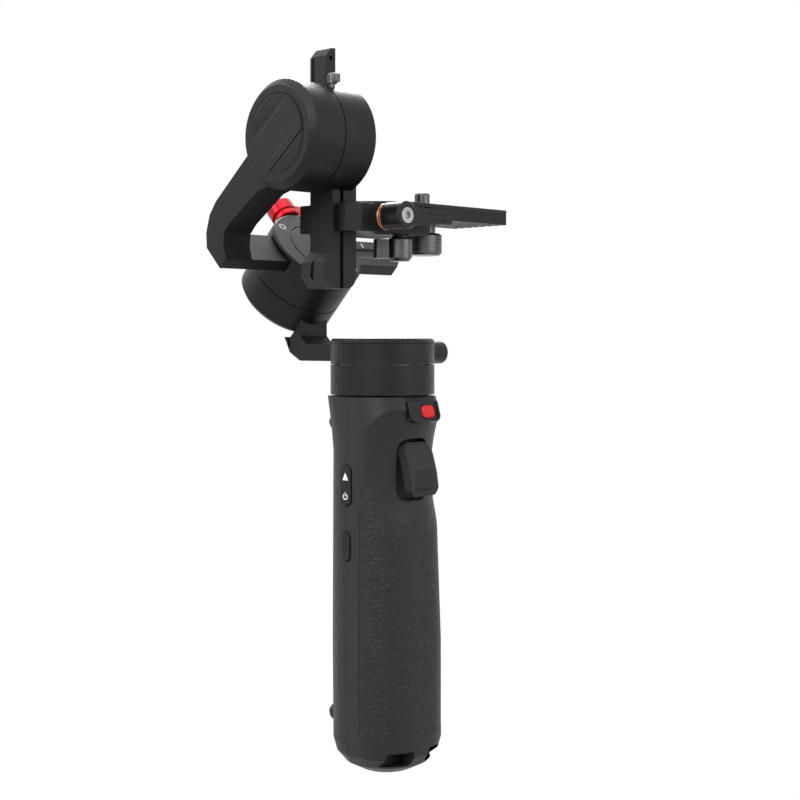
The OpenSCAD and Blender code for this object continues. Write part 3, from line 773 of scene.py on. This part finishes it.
class GIMBAL_OT_badge(bpy.types.Operator):
    """Badge disc with a wide blank band, a thin frame on it and fine ribs either side"""

    bl_idname = "gimbal.badge"
    bl_label = "Badge"

    def execute(self, context):
        low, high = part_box("tilt_badge")
        radius = (high.y - low.y) / 2 / MM
        inner = radius - BADGE_RIM
        along = Vector((0.0, math.cos(BADGE_SLOPE), math.sin(BADGE_SLOPE)))
        outward = frame_matrix((high.x, 0.0, AXES_MEET.z), along,
                               Vector((-1.0, 0.0, 0.0)).cross(along))
        face = outward @ Matrix.Translation((0.0, 0.0, BADGE_THICK * MM))
        top = face @ Matrix.Translation((0.0, 0.0, BAND_THICK * MM))
        body = BODY_OF["tilt_badge"]
        badge_disc(radius, outward, body)
        badge_band(inner, face, body)
        badge_lines(inner, top, body)
        badge_ribs(inner, context.scene.gimbal_looks.rib_pitch / MM, face, body)
        return {"FINISHED"}


def power_marks():
    """A power symbol below and a triangle above on the long power button."""
    low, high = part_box("power_button")
    body = BODY_OF["power_button"]
    face = frame_matrix((low.x + BUTTON_FLUSH - INK_LIFT, 0.0, 0.0), (0, -1, 0), (0, 0, 1))
    middle = (low.z + high.z) / 2 / MM
    start, end = math.pi / 2 + RING_GAP, math.pi * 5 / 2 - RING_GAP
    ring = arc(RING_OUTER, start, end, 28) + arc(RING_INNER, end, start, 28)
    prism("power_ring_mark", [(x, middle - RING_DROP + y) for x, y in ring], face, INK_THICK,
          "White ink", body)
    low_end, high_end = (middle + end for end in STROKE_ENDS)
    prism("power_bar_mark", rectangle(-STROKE_HALF, STROKE_HALF, low_end, high_end), face,
          INK_THICK, "White ink", body)
    base, tip = (middle + end for end in TRIANGLE_ENDS)
    prism("triangle_mark", [(-TRIANGLE_HALF, base), (TRIANGLE_HALF, base), (0.0, tip)], face,
          INK_THICK, "White ink", body)


def bar_tick():
    """A short tick on the slanted bar's face."""
    face = frame_matrix(AXES_MEET - ROLL_AXIS * BAR_FACE_REACH, (1, 0, 0), BAR_UP)
    prism("bar_tick", rectangle(*TICK_EDGES), face, TICK_THICK, "White ink",
          BODY_OF["roll_arm"])


def in_dot_patch(x, y):
    """Whether a dot is inside the patch's round outline and under its sloping top."""
    return y < DOT_TOP - abs(x) * DOT_TOP_FALL and x * x + y * y < DOT_REACH ** 2


def trigger_dots():
    """Staggered soft dots where the finger rests."""
    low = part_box("trigger")[0]
    top = Vector((0.0, low.y + DOT_PLACE[0], low.z + DOT_PLACE[1]))
    place = frame_matrix(top, (1, 0, 0), (0, math.sin(TRIGGER_LEAN), math.cos(TRIGGER_LEAN)))
    tree = pattern_tree("Flat studs", "GeometryNodeMeshUVSphere", False)
    pattern("trigger_dots", tree, {
        "Columns": DOT_COLUMNS, "Rows": DOT_ROWS, "Width": DOT_PATCH[0],
        "Height": DOT_PATCH[1], "Stud": DOT, "Stagger": DOT_STAGGER},
        "Soft rubber", place, BODY_OF["trigger"], keep=in_dot_patch)


class GIMBAL_OT_marks(bpy.types.Operator):
    """Printed symbols on a side button, a tick on the bar and grip dots on the trigger"""

    bl_idname = "gimbal.marks"
    bl_label = "Marks and grip dots"

    def execute(self, context):
        power_marks()
        bar_tick()
        trigger_dots()
        return {"FINISHED"}


class GIMBAL_OT_studio(bpy.types.Operator):
    """Pale floor, soft lights, white backdrop and the main camera"""

    bl_idname = "gimbal.studio"
    bl_label = "Studio"

    def execute(self, context):
        bpy.ops.mesh.primitive_plane_add(size=FLOOR_SIZE, location=(0, 0, -FLOOR_DROP))
        floor = context.object
        floor.name = "floor"
        floor.data.materials.append(studio_floor())
        lamps = [studio_lamp(*lamp) for lamp in LAMPS]
        camera = studio_camera()
        context.scene.camera = camera
        context.scene.world = studio_world()
        context.scene.view_settings.view_transform = "Standard"
        return {"FINISHED"}


def studio_lamp(name, place, power, size):
    data = bpy.data.lights.new(name, "AREA")
    data.energy = power
    data.size = size
    lamp = new_object(name, data)
    lamp.location = place
    lamp.rotation_euler = (LAMP_TARGET - Vector(place)).to_track_quat("-Z", "Y").to_euler()
    return lamp


def studio_camera():
    data = bpy.data.cameras.new("main_camera")
    data.sensor_width = 36.0
    data.lens = 67.5
    data.shift_y = -0.075
    data.clip_start = 0.01
    camera = new_object("main_camera", data)
    camera.location = CAMERA_PLACE
    camera.rotation_euler = CAMERA_VIEW.to_track_quat("-Z", "Y").to_euler()
    return camera


def studio_floor():
    """Pale to the lights and white to the camera."""
    material = bpy.data.materials.new("Studio floor")
    material.use_nodes = True
    tree = material.node_tree
    shader = tree.nodes["Principled BSDF"]
    shader.inputs["Base Color"].default_value = (0.62, 0.62, 0.62, 1.0)
    shader.inputs["Roughness"].default_value = 0.9
    white_where_seen(tree, shader.outputs["BSDF"], tree.nodes.new("ShaderNodeEmission"),
                     tree.nodes["Material Output"])
    return material


def white_where_seen(tree, plain, white, output):
    """White for camera, glossy and transmitted rays, and the plain surface otherwise."""
    white.inputs["Color"].default_value = (1.0, 1.0, 1.0, 1.0)
    rays = tree.nodes.new("ShaderNodeLightPath")
    seen = math_node(tree, "MAXIMUM", rays.outputs["Is Camera Ray"],
                     math_node(tree, "MAXIMUM", rays.outputs["Is Glossy Ray"],
                               rays.outputs["Is Transmission Ray"]))
    choose = tree.nodes.new("ShaderNodeMixShader")
    tree.links.new(seen, choose.inputs[0])
    tree.links.new(plain, choose.inputs[1])
    tree.links.new(white.outputs[0], choose.inputs[2])
    tree.links.new(choose.outputs[0], output.inputs["Surface"])


def studio_world():
    world = bpy.data.worlds.new("Studio")
    world.use_nodes = True
    tree = world.node_tree
    plain = tree.nodes["Background"]
    plain.inputs["Color"].default_value = (0.8, 0.82, 0.85, 1.0)
    plain.inputs["Strength"].default_value = 0.35
    white_where_seen(tree, plain.outputs[0], tree.nodes.new("ShaderNodeBackground"),
                     tree.nodes["World Output"])
    return world


class GIMBAL_PT_looks(bpy.types.Panel):
    """Lists the settings and the steps"""

    bl_label = "Gimbal"
    bl_idname = "GIMBAL_PT_looks"
    bl_space_type = "VIEW_3D"
    bl_region_type = "UI"
    bl_category = "Gimbal"

    def draw(self, context):
        for name in GimbalLooks.__annotations__:
            self.layout.prop(context.scene.gimbal_looks, name)
        for operator in OPERATORS:
            self.layout.operator(operator.bl_idname)


OPERATORS = (
    GIMBAL_OT_metalwork, GIMBAL_OT_handle, GIMBAL_OT_trim, GIMBAL_OT_knurl, GIMBAL_OT_badge,
    GIMBAL_OT_marks, GIMBAL_OT_studio,
)
CLASSES = (GimbalLooks, *OPERATORS, GIMBAL_PT_looks)


def register():
    for item in CLASSES:
        bpy.utils.register_class(item)
    bpy.types.Scene.gimbal_looks = bpy.props.PointerProperty(type=GimbalLooks)


def unregister():
    del bpy.types.Scene.gimbal_looks
    for item in reversed(CLASSES):
        bpy.utils.unregister_class(item)


def main():
    register()
    bpy.ops.gimbal.metalwork()
    bpy.ops.gimbal.handle()
    bpy.ops.gimbal.trim()
    bpy.ops.gimbal.knurl()
    bpy.ops.gimbal.badge()
    bpy.ops.gimbal.marks()
    bpy.ops.gimbal.studio()


if __name__ == "__main__":
    main()
